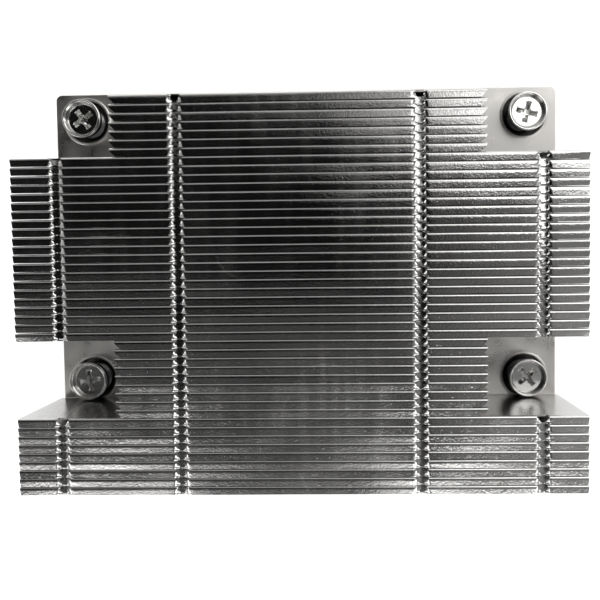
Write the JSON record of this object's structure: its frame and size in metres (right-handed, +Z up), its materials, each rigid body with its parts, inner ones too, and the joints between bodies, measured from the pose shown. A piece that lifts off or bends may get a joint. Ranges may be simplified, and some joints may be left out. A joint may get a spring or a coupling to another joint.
{
  "type": "passive server cpu heatsink",
  "caption": "Low passive server processor heatsink: zipper fins with snap-locked flanges on a plated base, notched round captive spring screws.",
  "frame": {"origin": "centre of the screw pattern on the base's underside, the face that meets the processor", "axes": "+Z up from the base to the fin tops, X along the fins and the air flow, +Y towards the end of the stack that is nearer the screws"},
  "size_m": [0.1084, 0.0814, 0.0304],
  "materials": {
    "fin_sheet": "bright rolled sheet with fine scratches",
    "plated_base": "nickel-plated, satin bright",
    "screw_plating": "bright nickel plating",
    "clip_steel": "plain spring steel",
    "spring_steel": "plated spring wire"
  },
  "bodies": {
    "heatsink": {"fin_01": "fin_sheet", "fin_02": "fin_sheet", "fin_03": "fin_sheet", "fin_04": "fin_sheet", "fin_05": "fin_sheet", "fin_06": "fin_sheet", "fin_07": "fin_sheet", "fin_08": "fin_sheet", "fin_09": "fin_sheet", "fin_10": "fin_sheet", "fin_11": "fin_sheet", "fin_12": "fin_sheet", "fin_13": "fin_sheet", "fin_14": "fin_sheet", "fin_15": "fin_sheet", "fin_16": "fin_sheet", "fin_17": "fin_sheet", "fin_18": "fin_sheet", "fin_19": "fin_sheet", "fin_20": "fin_sheet", "fin_21": "fin_sheet", "fin_22": "fin_sheet", "fin_23": "fin_sheet", "fin_24": "fin_sheet", "fin_25": "fin_sheet", "fin_26": "fin_sheet", "fin_27": "fin_sheet", "fin_28": "fin_sheet", "fin_29": "fin_sheet", "fin_30": "fin_sheet", "fin_31": "fin_sheet", "fin_32": "fin_sheet", "fin_33": "fin_sheet", "fin_34": "fin_sheet", "fin_35": "fin_sheet", "fin_36": "fin_sheet", "fin_37": "fin_sheet", "fin_38": "fin_sheet", "fin_39": "fin_sheet", "fin_40": "fin_sheet", "fin_41": "fin_sheet", "fin_42": "fin_sheet", "fin_43": "fin_sheet", "fin_44": "fin_sheet", "fin_45": "fin_sheet", "fin_46": "fin_sheet", "base_plate": "plated_base", "spring_back_left": "spring_steel", "spring_back_right": "spring_steel", "spring_front_left": "spring_steel", "spring_front_right": "spring_steel"},
    "sliding_back_left": {"clip_back_left": "clip_steel"},
    "turning_back_left": {"screw_back_left": "screw_plating"},
    "sliding_back_right": {"clip_back_right": "clip_steel"},
    "turning_back_right": {"screw_back_right": "screw_plating"},
    "sliding_front_left": {"clip_front_left": "clip_steel"},
    "turning_front_left": {"screw_front_left": "screw_plating"},
    "sliding_front_right": {"clip_front_right": "clip_steel"},
    "turning_front_right": {"screw_front_right": "screw_plating"}
  },
  "joints": [
    {"name": "screw_travel_back_left", "type": "slide", "parent": "heatsink", "child": "sliding_back_left", "axis": [0, 0, -1], "range_m": [0, 0.0015], "stiffness_N_per_m": 1000, "springref_m": -0.003, "deforming": ["spring_back_left"]},
    {"name": "screw_turn_back_left", "type": "hinge", "parent": "sliding_back_left", "child": "turning_back_left", "pos_m": [-0.047, 0.028, 0], "axis": [0, 0, 1], "continuous": true},
    {"name": "screw_travel_back_right", "type": "slide", "parent": "heatsink", "child": "sliding_back_right", "axis": [0, 0, -1], "range_m": [0, 0.0015], "stiffness_N_per_m": 1000, "springref_m": -0.003, "deforming": ["spring_back_right"]},
    {"name": "screw_turn_back_right", "type": "hinge", "parent": "sliding_back_right", "child": "turning_back_right", "pos_m": [0.047, 0.028, 0], "axis": [0, 0, 1], "continuous": true},
    {"name": "screw_travel_front_left", "type": "slide", "parent": "heatsink", "child": "sliding_front_left", "axis": [0, 0, -1], "range_m": [0, 0.0015], "stiffness_N_per_m": 1000, "springref_m": -0.003, "deforming": ["spring_front_left"]},
    {"name": "screw_turn_front_left", "type": "hinge", "parent": "sliding_front_left", "child": "turning_front_left", "pos_m": [-0.047, -0.028, 0], "axis": [0, 0, 1], "continuous": true},
    {"name": "screw_travel_front_right", "type": "slide", "parent": "heatsink", "child": "sliding_front_right", "axis": [0, 0, -1], "range_m": [0, 0.0015], "stiffness_N_per_m": 1000, "springref_m": -0.003, "deforming": ["spring_front_right"]},
    {"name": "screw_turn_front_right", "type": "hinge", "parent": "sliding_front_right", "child": "turning_front_right", "pos_m": [0.047, -0.028, 0], "axis": [0, 0, 1], "continuous": true}
  ]
}
